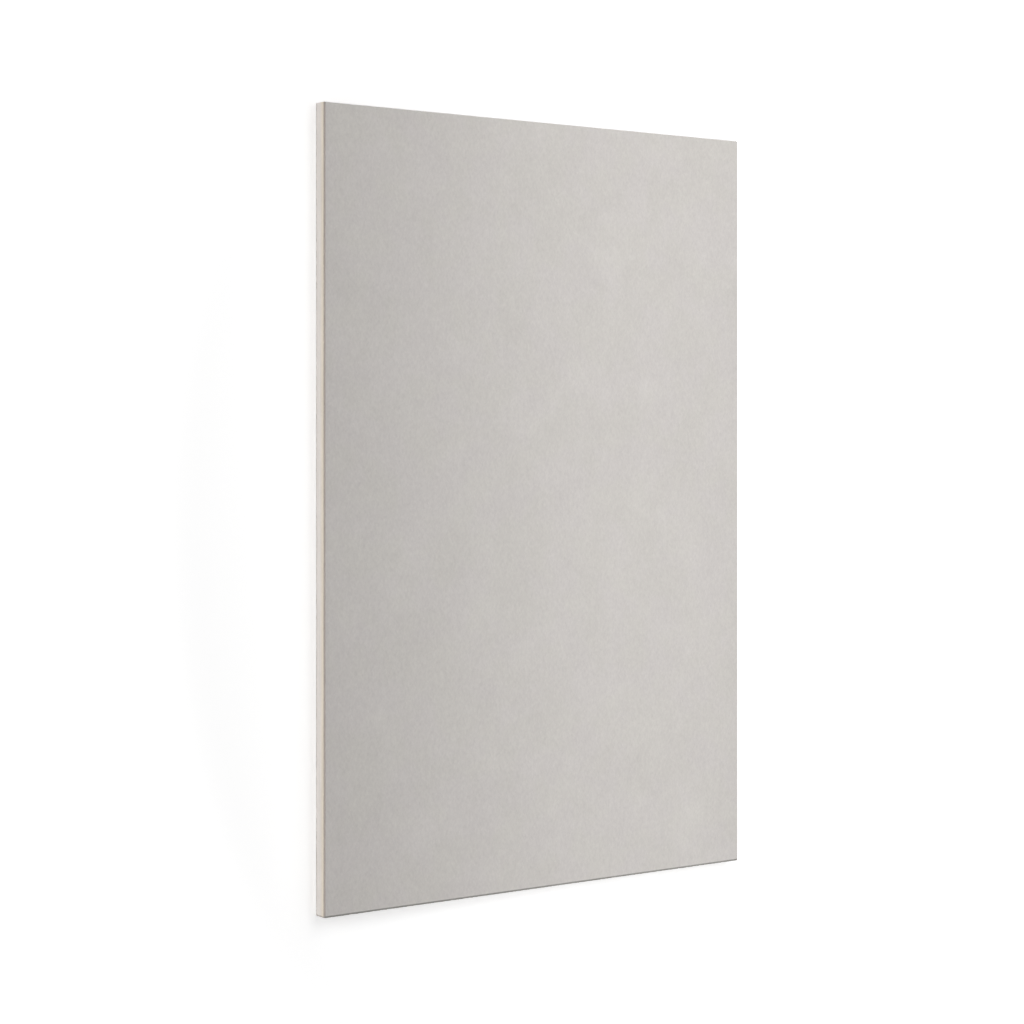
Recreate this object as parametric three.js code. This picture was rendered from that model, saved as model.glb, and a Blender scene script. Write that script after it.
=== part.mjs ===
// Cut panel of 1/2 in drywall: a gypsum core cast between two paper liners.
//
// Millimetres, +Z up. The panel lies flat on its back liner with the face liner up. The origin is the
// centre of the underside, X runs across the panel, Y runs along it and Z through its thickness.

import * as THREE from 'three';

// ---------------------------------------------------------------------------
// Driving dimensions, in millimetres
// ---------------------------------------------------------------------------

// The panel as cut: 16 in by 24 in, which spans one stud bay.
const PANEL_WIDTH = 406.4;
const PANEL_LENGTH = 609.6;

// The 1/2 in board, liners included.
const BOARD_THICKNESS = 12.7;

// Caliper of each liner.
const FACE_PAPER_CALIPER = 0.4;
const BACK_PAPER_CALIPER = 0.35;

// The score that the knife leaves in the gypsum, just under the face liner, on every cut edge.
const SCORE_SETBACK = 0.5;
const SCORE_DEPTH = 0.9;

// ---------------------------------------------------------------------------
// Heights that follow from the layers, measured up from the underside
// ---------------------------------------------------------------------------

const CORE_BOTTOM = BACK_PAPER_CALIPER;
const CORE_TOP = BOARD_THICKNESS - FACE_PAPER_CALIPER;

// ---------------------------------------------------------------------------
// Materials
// ---------------------------------------------------------------------------

const gypsum = new THREE.MeshStandardMaterial({ color: 0xd6cfc6, roughness: 0.95, metalness: 0 });
const facePaper = new THREE.MeshStandardMaterial({ color: 0xcfccc8, roughness: 0.85, metalness: 0 });
const backPaper = new THREE.MeshStandardMaterial({ color: 0xa89c8c, roughness: 0.9, metalness: 0 });

// ---------------------------------------------------------------------------
// Shapes
// ---------------------------------------------------------------------------

// The panel's outline seen from above, brought in by `setback` on all four sides.
function panelOutline(setback = 0) {
  const halfWidth = PANEL_WIDTH / 2 - setback;
  const halfLength = PANEL_LENGTH / 2 - setback;
  return [
    new THREE.Vector2(-halfWidth, -halfLength),
    new THREE.Vector2(halfWidth, -halfLength),
    new THREE.Vector2(halfWidth, halfLength),
    new THREE.Vector2(-halfWidth, halfLength),
  ];
}

// A closed solid through level outlines with equally many corners, given from the lowest to the highest
// and turning anticlockwise. Straight walls join each outline to the next, and the ends are capped.
function loftLevels(levels) {
  const corners = levels[0].outline.length;
  const positions = [];
  for (const { outline, height } of levels) {
    for (const point of outline) {
      positions.push(point.x, point.y, height);
    }
  }

  const faces = [];
  for (let level = 0; level < levels.length - 1; level++) {
    for (let corner = 0; corner < corners; corner++) {
      const next = (corner + 1) % corners;
      const lower = level * corners;
      const upper = lower + corners;
      faces.push(lower + corner, lower + next, upper + next);
      faces.push(lower + corner, upper + next, upper + corner);
    }
  }

  const topStart = (levels.length - 1) * corners;
  for (const [a, b, c] of THREE.ShapeUtils.triangulateShape(levels[0].outline, [])) {
    faces.push(a, c, b);
  }
  for (const [a, b, c] of THREE.ShapeUtils.triangulateShape(levels.at(-1).outline, [])) {
    faces.push(topStart + a, topStart + b, topStart + c);
  }

  const geometry = new THREE.BufferGeometry();
  geometry.setAttribute('position', new THREE.Float32BufferAttribute(positions, 3));
  geometry.setIndex(faces);
  geometry.computeVertexNormals();
  return geometry;
}

// A liner: one flat sheet of paper over the whole panel, cut flush with its edges.
function linerSheet(caliper) {
  const shape = new THREE.Shape(panelOutline());
  return new THREE.ExtrudeGeometry(shape, { depth: caliper, bevelEnabled: false });
}

// The gypsum slab between the liners. Its edges are square up to the score, where they lean in under the
// face liner, and the liner's cut edge stands out over the groove.
function coreSlab() {
  return loftLevels([
    { outline: panelOutline(), height: CORE_BOTTOM },
    { outline: panelOutline(), height: CORE_TOP - SCORE_DEPTH },
    { outline: panelOutline(SCORE_SETBACK), height: CORE_TOP },
  ]);
}

// ---------------------------------------------------------------------------
// Pieces, each in its place
// ---------------------------------------------------------------------------

function piece(name, geometry, material, height = 0) {
  const mesh = new THREE.Mesh(geometry, material);
  mesh.name = name;
  mesh.position.z = height;
  return mesh;
}

const drywallPanel = new THREE.Group();
drywallPanel.name = 'drywall_panel';
drywallPanel.add(
  piece('gypsum_core', coreSlab(), gypsum),
  piece('face_paper', linerSheet(FACE_PAPER_CALIPER), facePaper, CORE_TOP),
  piece('back_paper', linerSheet(BACK_PAPER_CALIPER), backPaper),
);

export default drywallPanel;
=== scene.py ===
"""Looks of a cut drywall panel: a gypsum core between two paper liners, lying face up on a pale floor.

Names that end in _mm hold millimetres. Blender works in metres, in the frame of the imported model: X across
the panel, Y along it, Z up through its thickness, and the origin at the centre of the underside.
"""

import logging
import math
from dataclasses import dataclass, field, fields
from enum import Enum
from functools import lru_cache
from typing import Any

import bpy
import numpy as np
from mathutils import Matrix, Vector
from mathutils.geometry import delaunay_2d_cdt


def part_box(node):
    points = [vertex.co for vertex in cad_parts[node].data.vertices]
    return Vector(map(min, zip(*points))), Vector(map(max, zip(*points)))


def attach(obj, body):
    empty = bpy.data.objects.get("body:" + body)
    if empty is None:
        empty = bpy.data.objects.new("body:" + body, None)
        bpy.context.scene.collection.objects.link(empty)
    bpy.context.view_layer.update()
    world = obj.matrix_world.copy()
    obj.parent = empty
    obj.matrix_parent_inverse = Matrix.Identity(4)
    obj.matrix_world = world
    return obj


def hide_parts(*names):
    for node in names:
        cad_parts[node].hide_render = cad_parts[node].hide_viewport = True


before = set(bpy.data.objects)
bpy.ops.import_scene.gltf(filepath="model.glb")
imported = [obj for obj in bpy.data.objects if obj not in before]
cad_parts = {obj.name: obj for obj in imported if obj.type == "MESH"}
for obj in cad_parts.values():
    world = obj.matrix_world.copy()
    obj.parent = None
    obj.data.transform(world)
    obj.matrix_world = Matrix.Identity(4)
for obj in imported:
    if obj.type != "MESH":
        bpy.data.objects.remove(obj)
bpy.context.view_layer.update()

LOG = logging.getLogger("drywall_panel")
MM = 0.001
FLAT_MAP = "OFBake"

Colour = tuple[float, float, float, float]


def tone(red: int, green: int, blue: int) -> Colour:
    """Turns a display colour into the linear colour that shaders take.

    Args:
        red: Red as displayed, 0 to 255.
        green: Green as displayed, 0 to 255.
        blue: Blue as displayed, 0 to 255.

    Returns:
        The linear colour, with full alpha.
    """
    linear = []
    for level in (red, green, blue):
        share = level / 255
        linear.append(share / 12.92 if share <= 0.04045 else ((share + 0.055) / 1.055) ** 2.4)
    return (linear[0], linear[1], linear[2], 1.0)


# ---------------------------------------------------------------------------
# Node trees
# ---------------------------------------------------------------------------


class Graph:
    """A node tree with short ways to add nodes and to join them."""

    def __init__(self, tree: bpy.types.NodeTree) -> None:
        """Takes the tree that the nodes go into."""
        self.tree = tree

    def add(self, kind: str, inputs: dict[Any, Any] | None = None, **settings: Any) -> bpy.types.Node:
        """Adds a node.

        Args:
            kind: The node's type, such as ShaderNodeMath.
            inputs: What each input socket gets: a value, or the socket of another node.
            **settings: The node's own settings, such as operation.

        Returns:
            The new node.
        """
        node = self.tree.nodes.new(kind)
        for name, value in settings.items():
            setattr(node, name, value)
        for socket, value in (inputs or {}).items():
            self.feed(node.inputs[socket], value)
        return node

    def feed(self, socket: bpy.types.NodeSocket, value: Any) -> None:
        """Gives an input socket a value, or joins it to another node's output.

        Args:
            socket: The input socket.
            value: The value, or the other node's socket.
        """
        if isinstance(value, bpy.types.NodeSocket):
            self.tree.links.new(value, socket)
        else:
            socket.default_value = value

    def math(self, operation: str, *values: Any, clamp: bool = False) -> bpy.types.NodeSocket:
        """Works out a number from one to three values and gives its socket."""
        node = self.add("ShaderNodeMath", dict(enumerate(values)), operation=operation, use_clamp=clamp)
        return node.outputs[0]

    def times(self, first: Any, second: Any, clamp: bool = False) -> bpy.types.NodeSocket:
        """Multiplies two numbers and gives the product's socket."""
        return self.math("MULTIPLY", first, second, clamp=clamp)

    def total(self, *values: Any, clamp: bool = False) -> bpy.types.NodeSocket:
        """Adds two or more numbers, from the first to the last.

        Args:
            *values: The numbers, or their sockets.
            clamp: Whether the sum is held between 0 and 1.

        Returns:
            The sum's socket.
        """
        running = values[0]
        for value in values[1:-1]:
            running = self.math("ADD", running, value)
        return self.math("ADD", running, values[-1], clamp=clamp)

    def swing(self, value: Any, amount: float) -> bpy.types.NodeSocket:
        """Gives how far a value lies from 0.5, times an amount."""
        return self.times(self.math("SUBTRACT", value, 0.5), amount)

    def vector(self, operation: str, *values: Any) -> bpy.types.NodeSocket:
        """Works out a vector from one to three vectors and gives its socket."""
        node = self.add("ShaderNodeVectorMath", dict(enumerate(values)), operation=operation)
        return node.outputs[0]

    def scaled(self, vector: Any, factor: Any) -> bpy.types.NodeSocket:
        """Multiplies a vector by a number and gives its socket."""
        node = self.add("ShaderNodeVectorMath", {"Vector": vector, "Scale": factor}, operation="SCALE")
        return node.outputs[0]

    def xyz(self, x: Any, y: Any, z: Any) -> bpy.types.NodeSocket:
        """Joins three numbers into a vector and gives its socket."""
        return self.add("ShaderNodeCombineXYZ", {"X": x, "Y": y, "Z": z}).outputs[0]

    def in_cells(self, vector: Any, size: Any) -> bpy.types.NodeSocket:
        """Measures a place in cells of one size and gives its socket."""
        return self.vector("DIVIDE", vector, self.xyz(size, size, size))

    def noise(self, vector: Any, detail: float = 2.0, roughness: float = 0.5) -> bpy.types.NodeSocket:
        """Adds noise with features about one unit across and gives its value's socket, 0 to 1 about 0.5."""
        inputs = {"Vector": vector, "Scale": 1.0, "Detail": detail, "Roughness": roughness}
        return self.add("ShaderNodeTexNoise", inputs).outputs[0]

    def ramp(self, value: Any, low: Any, high: Any, start: Any = 0.0, end: Any = 1.0) -> bpy.types.NodeSocket:
        """Maps a value smoothly from one range to another, held at both ends.

        Args:
            value: The value.
            low: Where its range starts.
            high: Where its range ends.
            start: What the start becomes.
            end: What the end becomes.

        Returns:
            The result's socket.
        """
        inputs = {"Value": value, "From Min": low, "From Max": high, "To Min": start, "To Max": end}
        node = self.add("ShaderNodeMapRange", inputs, interpolation_type="SMOOTHSTEP", clamp=True)
        return node.outputs[0]

    def blend(self, factor: Any, first: Any, second: Any, mode: str = "MIX") -> bpy.types.NodeSocket:
        """Mixes two colours.

        Args:
            factor: How much of the second shows, which is held between 0 and 1.
            first: The colour below.
            second: The colour laid over it.
            mode: How the second is laid on, such as MIX or MULTIPLY.

        Returns:
            The socket of the mixed colour.
        """
        node = self.add("ShaderNodeMix", data_type="RGBA", blend_type=mode, clamp_factor=True)
        colours = [socket for socket in node.inputs if socket.type == "RGBA"]
        self.feed(node.inputs[0], factor)
        self.feed(colours[0], first)
        self.feed(colours[1], second)
        return next(socket for socket in node.outputs if socket.type == "RGBA")

    def effect(self, group: bpy.types.NodeTree, inputs: dict[str, Any]) -> bpy.types.NodeOutputs:
        """Places a shader node group with its own values and gives its outputs."""
        return self.add("ShaderNodeGroup", inputs, node_tree=group).outputs


class SocketKind(Enum):
    """The kinds of socket that the node groups use."""

    NUMBER = "NodeSocketFloat"
    VECTOR = "NodeSocketVector"
    SHAPE = "NodeSocketGeometry"
    MATERIAL = "NodeSocketMaterial"
    WHOLE = "NodeSocketInt"


def open_group(
    name: str,
    tree_kind: str,
    inputs: dict[str, SocketKind],
    outputs: dict[str, SocketKind],
) -> tuple[Graph, bpy.types.Node, bpy.types.Node]:
    """Starts a node group with named inputs and outputs.

    Args:
        name: The group's name.
        tree_kind: ShaderNodeTree or GeometryNodeTree.
        inputs: Each input's name and kind.
        outputs: Each output's name and kind.

    Returns:
        The group's graph, its input node and its output node.
    """
    tree = bpy.data.node_groups.new(name, tree_kind)
    for label, kind in inputs.items():
        tree.interface.new_socket(label, in_out="INPUT", socket_type=kind.value)
    for label, kind in outputs.items():
        tree.interface.new_socket(label, in_out="OUTPUT", socket_type=kind.value)
    graph = Graph(tree)
    return graph, graph.add("NodeGroupInput"), graph.add("NodeGroupOutput")


# ---------------------------------------------------------------------------
# Effects that several finishes share
# ---------------------------------------------------------------------------


def open_effect(
    name: str, numbers: tuple[str, ...], results: tuple[str, ...]
) -> tuple[Graph, bpy.types.NodeOutputs, bpy.types.NodeInputs]:
    """Starts a shader node group that reads a Vector, a place in millimetres, and some numbers.

    Args:
        name: The group's name.
        numbers: The names of the numbers that it reads.
        results: The names of the numbers that it puts out.

    Returns:
        The group's graph, the sockets that it reads and the sockets that its results go to.
    """
    inputs = {"Vector": SocketKind.VECTOR} | dict.fromkeys(numbers, SocketKind.NUMBER)
    outputs = dict.fromkeys(results, SocketKind.NUMBER)
    graph, given, result = open_group(name, "ShaderNodeTree", inputs, outputs)
    return graph, given.outputs, result.inputs


@lru_cache(maxsize=None)
def fibre_grain() -> bpy.types.NodeTree:
    """Builds the grain of paper: short fibres that lie mostly along the board, crossing at a small angle.

    Returns:
        The group. Length and Width are the fibres' own, in millimetres, and its output Grain lies about 0.5.
    """
    lay_angle = math.radians(24)
    graph, given, result = open_effect("Fibre grain", ("Length", "Width"), ("Grain",))
    cell = graph.xyz(given["Width"], given["Length"], given["Width"])
    layers = []
    for angle in (-lay_angle, lay_angle):
        inputs = {"Vector": given["Vector"], "Angle": angle}
        turned = graph.add("ShaderNodeVectorRotate", inputs, rotation_type="Z_AXIS")
        layers.append(graph.noise(graph.vector("DIVIDE", turned.outputs[0], cell), detail=5.0, roughness=0.6))
    graph.feed(result["Grain"], graph.times(graph.total(*layers), 1 / len(layers)))
    return graph.tree


@lru_cache(maxsize=None)
def cloud_mottle() -> bpy.types.NodeTree:
    """Builds soft uneven patches, as in the formation of paper or in plaster.

    Returns:
        The group. Patch is the patches' size in millimetres, and its outputs Clouds and Tint lie about 0.5.
    """
    tint_shift = (37.0, 11.0, 5.0)
    graph, given, result = open_effect("Cloud mottle", ("Patch",), ("Clouds", "Tint"))
    place = graph.in_cells(given["Vector"], given["Patch"])
    graph.feed(result["Clouds"], graph.noise(place, detail=4.0, roughness=0.62))
    graph.feed(result["Tint"], graph.noise(graph.vector("ADD", place, tint_shift), detail=2.0))
    return graph.tree


@lru_cache(maxsize=None)
def specks() -> bpy.types.NodeTree:
    """Builds scattered small ragged spots, such as shives in paper or air voids in gypsum.

    Returns:
        The group. Spacing and Size are millimetres, and Share is how many of the places that could hold a
        spot do. Its output Mask is 1 in the middle of a spot.
    """
    raggedness = 1.4
    middle = (0.5, 0.5, 0.5)
    core_share = 0.2
    graph, given, result = open_effect("Specks", ("Spacing", "Size", "Share"), ("Mask",))
    spacing, size = given["Spacing"], given["Size"]
    fine = graph.in_cells(given["Vector"], size)
    ragged = graph.add("ShaderNodeTexNoise", {"Vector": fine, "Scale": raggedness, "Detail": 2.0})
    bent = graph.vector("SUBTRACT", ragged.outputs["Color"], middle)
    place = graph.in_cells(graph.vector("ADD", given["Vector"], graph.scaled(bent, size)), spacing)
    cells = graph.add("ShaderNodeTexVoronoi", {"Vector": place, "Scale": 1.0, "Randomness": 1.0})
    draw = graph.add("ShaderNodeSeparateColor", {"Color": cells.outputs["Color"]})
    radius = graph.math("DIVIDE", size, graph.times(spacing, 2.0))
    grown = graph.times(radius, graph.total(draw.outputs[1], 0.5))
    spot = graph.ramp(cells.outputs["Distance"], graph.times(grown, core_share), grown, 1.0, 0.0)
    chosen = graph.math("LESS_THAN", draw.outputs[0], given["Share"])
    graph.feed(result["Mask"], graph.times(spot, chosen))
    return graph.tree


@lru_cache(maxsize=None)
def layer_streaks() -> bpy.types.NodeTree:
    """Builds streaks that run round the panel's edge, level with its faces.

    Returns:
        The group. Length and Width are the streaks' own, in millimetres, and its output Streaks lies about
        0.5.
    """
    graph, given, result = open_effect("Layer streaks", ("Length", "Width"), ("Streaks",))
    cell = graph.xyz(given["Length"], given["Length"], given["Width"])
    place = graph.vector("DIVIDE", given["Vector"], cell)
    graph.feed(result["Streaks"], graph.noise(place, detail=3.0, roughness=0.6))
    return graph.tree


@lru_cache(maxsize=None)
def outline_band() -> bpy.types.NodeTree:
    """Builds a mask that is 1 at the panel's outline and fades to 0 further in.

    Returns:
        The group. Half Width and Half Length are the panel's, and Reach is how far in the mask goes, all in
        millimetres. Its output is Band.
    """
    graph, given, result = open_effect("Outline band", ("Half Width", "Half Length", "Reach"), ("Band",))
    parts = graph.add("ShaderNodeSeparateXYZ", {"Vector": given["Vector"]}).outputs
    across = graph.math("SUBTRACT", given["Half Width"], graph.math("ABSOLUTE", parts[0]))
    along = graph.math("SUBTRACT", given["Half Length"], graph.math("ABSOLUTE", parts[1]))
    nearest = graph.math("MINIMUM", across, along)
    graph.feed(result["Band"], graph.ramp(nearest, 0.0, given["Reach"], 1.0, 0.0))
    return graph.tree


# ---------------------------------------------------------------------------
# Finishes
# ---------------------------------------------------------------------------


class Surface(Graph):
    """The nodes of a material: one Principled shader, and the place on the panel that its patterns read."""

    def __init__(self, name: str) -> None:
        """Starts the material.

        Args:
            name: The material's name.
        """
        self.material = bpy.data.materials.new(name)
        self.material.use_nodes = True
        self.material.node_tree.nodes.clear()
        super().__init__(self.material.node_tree)
        self.shader = self.add("ShaderNodeBsdfPrincipled")
        self.add("ShaderNodeOutputMaterial", {"Surface": self.shader.outputs[0]})
        coordinates = self.add("ShaderNodeTexCoord")
        self.place_mm = self.scaled(coordinates.outputs["Object"], 1 / MM)

    def streaks(self, length_mm: float, width_mm: float) -> bpy.types.NodeSocket:
        """Gives streaks that run round the panel's edge, as values about 0.5."""
        inputs = {"Vector": self.place_mm, "Length": length_mm, "Width": width_mm}
        return self.effect(layer_streaks(), inputs)["Streaks"]

    def mottle(self, patch_mm: float) -> bpy.types.NodeOutputs:
        """Gives soft patches of a size, as the two values Clouds and Tint about 0.5."""
        return self.effect(cloud_mottle(), {"Vector": self.place_mm, "Patch": patch_mm})

    def spots(self, spacing_mm: float, size_mm: float, share: float) -> bpy.types.NodeSocket:
        """Gives a mask of scattered spots: their spacing, their size and how many of the places hold one."""
        inputs = {"Vector": self.place_mm, "Spacing": spacing_mm, "Size": size_mm, "Share": share}
        return self.effect(specks(), inputs)["Mask"]

    def band(self, half_width_mm: float, half_length_mm: float, reach_mm: float) -> bpy.types.NodeSocket:
        """Gives a mask that is 1 at the outline of a size and fades to 0 at a reach from it.

        Args:
            half_width_mm: Half of the outline's width.
            half_length_mm: Half of the outline's length.
            reach_mm: How far in the mask goes.

        Returns:
            The mask's socket.
        """
        sizes = {"Half Width": half_width_mm, "Half Length": half_length_mm, "Reach": reach_mm}
        return self.effect(outline_band(), {"Vector": self.place_mm, **sizes})["Band"]

    def sawn_ends(self, half_length_mm: float) -> bpy.types.NodeSocket:
        """Gives a mask of the panel's two ends: 1 to half of its reach from them, and 0 beyond the reach.

        Args:
            half_length_mm: Half of the panel's length.

        Returns:
            The mask's socket.
        """
        reach_mm = 2.8
        no_sides_mm = 1e4
        return self.times(self.band(no_sides_mm, half_length_mm, reach_mm), 2.0, clamp=True)

    def close(self, colour: Any, roughness: Any, height: Any, relief_mm: float) -> bpy.types.Material:
        """Feeds the shader.

        Args:
            colour: The socket of the base colour.
            roughness: The socket of the roughness.
            height: The socket of the relief's height, in shares of its depth.
            relief_mm: The relief's depth.

        Returns:
            The finished material.
        """
        bump = self.add("ShaderNodeBump", {"Strength": 1.0, "Distance": relief_mm * MM, "Height": height})
        self.feed(self.shader.inputs["Base Color"], colour)
        self.feed(self.shader.inputs["Roughness"], roughness)
        self.feed(self.shader.inputs["Normal"], bump.outputs[0])
        return self.material


@dataclass(frozen=True)
class LinerFinish:
    """The broad side of a paper liner: fibre grain, cloudy formation, faint pale scuffs and a few specks.

    It is a little darker along its arrises. The two ranges say between which values of their patterns the
    scuffs and the tint come in.
    """

    name: str
    dark: Colour
    light: Colour
    tint: Colour
    speck: Colour
    fibre_length_mm: float
    fibre_width_mm: float
    grain_strength: float
    cloud_patch_mm: float
    cloud_strength: float
    scuff_patch_mm: float
    scuff_strength: float
    tint_strength: float
    speck_spacing_mm: float
    speck_size_mm: float
    speck_share: float
    roughness: float
    relief_mm: float
    arris_mm: float = 1.6
    arris_strength: float = 0.25
    scuff_range: tuple[float, float] = (0.56, 0.8)
    tint_range: tuple[float, float] = (0.35, 0.65)
    roughness_swing: float = 0.12
    cloud_relief: float = 0.8

    def material(self, half_width_mm: float, half_length_mm: float) -> bpy.types.Material:
        """Builds the material.

        Args:
            half_width_mm: Half of the panel's width.
            half_length_mm: Half of the panel's length.

        Returns:
            The new material.
        """
        surface = Surface(self.name)
        fibres = {"Vector": surface.place_mm, "Length": self.fibre_length_mm, "Width": self.fibre_width_mm}
        grain = surface.effect(fibre_grain(), fibres)["Grain"]
        mottle = surface.mottle(self.cloud_patch_mm)
        rubbed = surface.mottle(self.scuff_patch_mm)["Tint"]
        arris = surface.band(half_width_mm, half_length_mm, self.arris_mm)

        level = surface.total(
            surface.swing(grain, self.grain_strength),
            surface.swing(mottle["Clouds"], self.cloud_strength),
            surface.times(surface.ramp(rubbed, *self.scuff_range), self.scuff_strength),
            0.5,
        )
        # The paper is made darker along its arrises.
        worn = surface.math("SUBTRACT", level, surface.times(arris, self.arris_strength), clamp=True)
        paper = surface.blend(worn, self.dark, self.light)
        tint_share = surface.times(surface.ramp(mottle["Tint"], *self.tint_range), self.tint_strength)
        tinted = surface.blend(tint_share, paper, self.tint, mode="MULTIPLY")
        spots = surface.spots(self.speck_spacing_mm, self.speck_size_mm, self.speck_share)
        return surface.close(
            colour=surface.blend(spots, tinted, self.speck),
            roughness=surface.total(surface.swing(grain, self.roughness_swing), self.roughness, clamp=True),
            height=surface.total(grain, surface.swing(mottle["Clouds"], self.cloud_relief)),
            relief_mm=self.relief_mm,
        )


@dataclass(frozen=True)
class CutPaperFinish:
    """The cut edge of a liner, where its brown inner plies show. It is greyer at the panel's sawn ends, and
    darker there with painted shade.
    """

    name: str
    dark: Colour
    light: Colour
    sawn_tint: Colour
    ply_mm: float = 0.12
    ply_run_mm: float = 5.0
    ply_contrast: float = 1.6
    fuzz_mm: float = 0.3
    fuzz_contrast: float = 1.2
    roughness: float = 0.95
    roughness_swing: float = 0.1
    relief_mm: float = 0.08

    def material(self, half_length_mm: float) -> bpy.types.Material:
        """Builds the material.

        Args:
            half_length_mm: Half of the panel's length.

        Returns:
            The new material.
        """
        surface = Surface(self.name)
        plies = surface.streaks(self.ply_run_mm, self.ply_mm)
        fuzz = surface.noise(surface.scaled(surface.place_mm, 1 / self.fuzz_mm), detail=3.0, roughness=0.65)
        drawn = (surface.swing(plies, self.ply_contrast), surface.swing(fuzz, self.fuzz_contrast))
        ragged = surface.total(*drawn, 0.5)
        paper = surface.blend(ragged, self.dark, self.light)
        return surface.close(
            # Greyer and darker at both sawn ends: the grey is the sawn paper's own, and the darkening is
            # painted shade.
            colour=surface.blend(surface.sawn_ends(half_length_mm), paper, self.sawn_tint, mode="MULTIPLY"),
            roughness=surface.total(surface.swing(plies, self.roughness_swing), self.roughness, clamp=True),
            height=ragged,
            relief_mm=self.relief_mm,
        )


@dataclass(frozen=True)
class GypsumFinish:
    """Set gypsum where it has been cut: streaked along the cut and full of small air voids.

    It is pale grey near the back liner and cream near the face liner, where brown paper fibres cling to it
    along the score and painted shade darkens it under the paper's lip. Its air voids are darkened as painted
    shade. The ends are clean, and whitest on the far ledge. Painted contact shade lies along the two arrises
    on which the panel stood. A range in millimetres says where an effect comes in: of the height for the
    cream and the darkening along the score, and of the distance from the panel's sides for the others.
    """

    name: str = "cut gypsum"
    shade: Colour = tone(207, 201, 196)
    chalk: Colour = tone(234, 228, 223)
    mean_level: float = 0.55
    streak_run_mm: float = 60.0
    streak_width_mm: float = 1.6
    streak_contrast: float = 1.1
    grit_mm: float = 0.4
    grit_contrast: float = 1.2
    patch_mm: float = 9.0
    patch_contrast: float = 0.5
    # Painted shade inside the air voids.
    void: Colour = tone(160, 151, 140)
    void_spacing_mm: float = 0.8
    void_size_mm: float = 0.32
    void_share: float = 0.6
    void_strength: float = 0.3
    cream_tint: Colour = tone(253, 248, 236)
    cream_range_mm: tuple[float, float] = (4.5, 9.5)
    # Fibre stain along the score, together with painted shade under the paper's lip.
    stain: Colour = tone(160, 150, 142)
    stain_range_mm: tuple[float, float] = (10.35, 10.65)
    stain_strength: float = 0.9
    stain_waver_mm: float = 0.8
    end_range_mm: tuple[float, float] = (0.7, 1.2)
    fresh: Colour = tone(248, 246, 243)
    fresh_mm: float = 2.2
    fresh_strength: float = 0.9
    ledge_mm: float = 11.3
    ledge_fade_mm: float = 0.2
    # Painted contact shade along the near end's arrises.
    grime: Colour = tone(168, 161, 154)
    grime_mm: float = 1.1
    grime_shares: tuple[float, float] = (0.4, 1.2)
    grime_range_mm: tuple[float, float] = (0.2, 0.7)
    grime_smear_mm: float = 1.2
    grime_strength: float = 0.92
    roughness: float = 0.92
    roughness_swing: float = 0.1
    streak_relief: float = 0.5
    grit_relief: float = 0.6
    relief_mm: float = 0.12

    def material(self, half_width_mm: float, half_length_mm: float) -> bpy.types.Material:
        """Builds the material for a panel, half of whose width and length are given in millimetres."""
        return GypsumSurface(self, half_width_mm, half_length_mm).dressed()


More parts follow.
